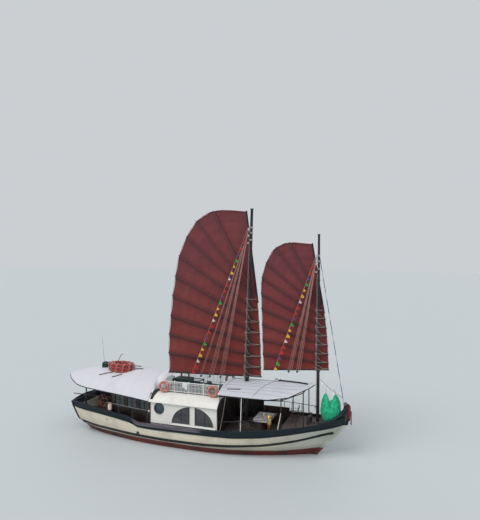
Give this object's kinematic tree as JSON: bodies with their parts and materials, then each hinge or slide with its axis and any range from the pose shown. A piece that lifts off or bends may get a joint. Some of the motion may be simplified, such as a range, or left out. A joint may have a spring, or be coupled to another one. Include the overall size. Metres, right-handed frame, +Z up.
{
  "type": "chinese junk ship",
  "caption": "Wooden motor junk with fan-shaped sails on raked masts, a barrel aft roof, a cabin with arched windows, a forward canopy, a rudder and a propeller.",
  "frame": {"origin": "on the centreline at the waterline amidships, the point the boat floats at", "axes": "+X to the bow, +Y to port, +Z up"},
  "size_m": [19.1043, 4.4774, 15.5026],
  "materials": {
    "bottom_paint": "matte",
    "cream_paint": "satin",
    "navy_paint": "satin",
    "deck_planks": "matte",
    "roof_white": "satin",
    "white_paint": "satin",
    "dark_wood": "satin",
    "mast_paint": "satin",
    "batten_wood": "matte",
    "hatch_green": "satin",
    "sail_cloth": "matte",
    "tarp_green": "matte",
    "rope": "matte",
    "window_glass": "gloss",
    "buoy_orange": "matte",
    "float_red": "matte",
    "bronze": "satin",
    "iron": "matte",
    "engine_block": "satin"
  },
  "bodies": {
    "hull": {"hull_bottom": "bottom_paint", "hull_topsides": "cream_paint", "engine": "engine_block", "deck": "deck_planks", "foredeck": "cream_paint", "bulwark_starboard": "navy_paint", "bulwark_port": "navy_paint", "transom_board": "navy_paint", "keel_and_stem": "bottom_paint", "bow_head": "navy_paint", "anchor": "iron", "main_mast": "mast_paint", "fore_mast": "mast_paint", "cabin_roof": "roof_white", "cabin_wall_starboard": "white_paint", "arched_window_starboard": "window_glass", "cabin_wall_port": "white_paint", "arched_window_port": "window_glass", "cabin_wall_front": "dark_wood", "cabin_wall_aft": "dark_wood", "sundeck_rail_starboard": "white_paint", "sundeck_rail_port": "white_paint", "lifebuoy_starboard_aft": "buoy_orange", "lifebuoy_starboard_fore": "buoy_orange", "lifebuoy_port_aft": "buoy_orange", "lifebuoy_port_fore": "buoy_orange", "companion_hatch": "hatch_green", "aft_roof": "roof_white", "front_canopy": "roof_white", "wheelhouse_wall_starboard": "dark_wood", "wheelhouse_wall_port": "dark_wood", "wheelhouse_wall_front": "dark_wood", "wheelhouse_wall_aft": "dark_wood", "aft_roof_frame": "navy_paint", "helm_pedestal": "dark_wood", "life_floats": "float_red", "antenna": "mast_paint", "canopy_frame": "navy_paint", "side_rail_starboard": "white_paint", "side_rail_port": "white_paint", "saloon_table": "white_paint", "saloon_bench": "dark_wood", "port_screen": "hatch_green", "windlass": "dark_wood", "tarp_bundle": "tarp_green", "forestay": "rope"},
    "main_sail": {"main_sail_cloth": "sail_cloth", "main_battens": "batten_wood", "main_yard": "batten_wood", "main_boom": "batten_wood"},
    "fore_sail": {"fore_sail_cloth": "sail_cloth", "fore_battens": "batten_wood", "fore_yard": "batten_wood", "fore_boom": "batten_wood"},
    "rudder": {"rudder": "bottom_paint"},
    "helm": {"helm_wheel": "bronze"},
    "propeller": {"propeller": "bronze"},
    "cabin_door": {"cabin_door": "dark_wood"},
    "wheelhouse_door": {"wheelhouse_door": "dark_wood"},
    "companion_lid": {"companion_lid": "hatch_green"}
  },
  "joints": [
    {"name": "main_sail_swing", "type": "hinge", "parent": "hull", "child": "main_sail", "pos_m": [2.512, 0, 1.1], "axis": [0.0322, 0, 0.9995], "range_deg": [-80, 80]},
    {"name": "fore_sail_swing", "type": "hinge", "parent": "hull", "child": "fore_sail", "pos_m": [6.95, 0, 1.1], "axis": [0.0077, 0, 1], "range_deg": [-80, 80]},
    {"name": "rudder_turn", "type": "hinge", "parent": "hull", "child": "rudder", "pos_m": [-7.8, 0, 0], "axis": [0, 0, 1], "range_deg": [-35, 35]},
    {"name": "helm_turn", "type": "hinge", "parent": "hull", "child": "helm", "pos_m": [-3.51, 0, 2.64], "axis": [1, 0, 0], "range_deg": [-280, 280]},
    {"name": "propeller_spin", "type": "hinge", "parent": "hull", "child": "propeller", "pos_m": [-7.26, 0, -0.62], "axis": [1, 0, 0], "continuous": true},
    {"name": "cabin_door_swing", "type": "hinge", "parent": "hull", "child": "cabin_door", "pos_m": [1.48895, 0.404, 2], "axis": [0, 0, 1], "range_deg": [0, 100]},
    {"name": "wheelhouse_door_swing", "type": "hinge", "parent": "hull", "child": "wheelhouse_door", "pos_m": [-6.00895, 0.404, 2], "axis": [0, 0, -1], "range_deg": [0, 100]},
    {"name": "companion_lid_slide", "type": "slide", "parent": "hull", "child": "companion_lid", "axis": [1, 0, 0], "range_m": [0, 0.7]}
  ],
  "couplings": [
    {"joint": "helm_turn", "follows": "rudder_turn", "ratio": 8}
  ]
}
